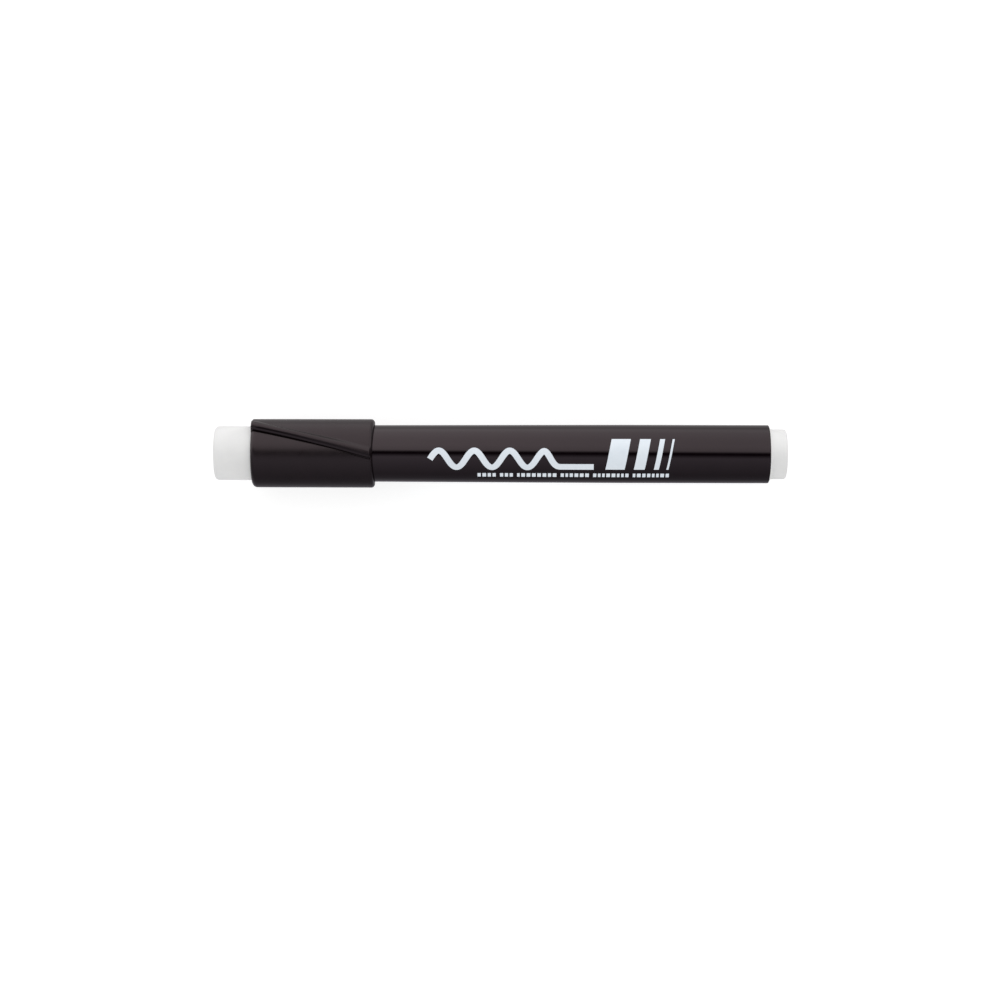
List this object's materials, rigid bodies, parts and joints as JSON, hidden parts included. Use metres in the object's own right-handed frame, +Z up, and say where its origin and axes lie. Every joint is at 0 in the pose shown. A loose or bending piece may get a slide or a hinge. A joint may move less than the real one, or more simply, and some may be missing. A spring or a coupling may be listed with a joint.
{
  "type": "whiteboard marker",
  "caption": "Slim round marker pen with a chisel fibre nib in a flared nozzle, a pull-off two-part cap with a slanted rib, and a white rear plug.",
  "frame": {"origin": "on the table under the middle of the marker's length, where the capped marker lies", "axes": "+X along the marker from the cap to the rear plug; +Z up, out of the printed face"},
  "size_m": [0.138, 0.0166, 0.0173],
  "materials": {
    "cap_plastic": "satin black polypropylene",
    "barrel_plastic": "glossy black polypropylene",
    "white_plastic": "satin white polyethylene, slightly translucent",
    "nozzle_plastic": "glossy black polypropylene",
    "nib_fibre": "bonded fibre soaked with black ink",
    "reservoir_fibre": "polyester fibre soaked with black ink",
    "print_white": "pale blue-white screen-printed ink",
    "print_black": "black screen-printed ink",
    "print_green": "green screen-printed ink",
    "wrap_film": "thin film"
  },
  "bodies": {
    "pen": {"barrel": "barrel_plastic", "nozzle": "nozzle_plastic", "nib": "nib_fibre", "reservoir_core": "reservoir_fibre", "reservoir_wrap": "wrap_film", "rear_plug": "white_plastic"},
    "cap": {"cap_sleeve": "cap_plastic", "inner_cap": "white_plastic"}
  },
  "joints": [
    {"name": "cap_slide", "type": "slide", "parent": "pen", "child": "cap", "axis": [-1, 0, 0], "range_m": [0, 0.045]}
  ]
}
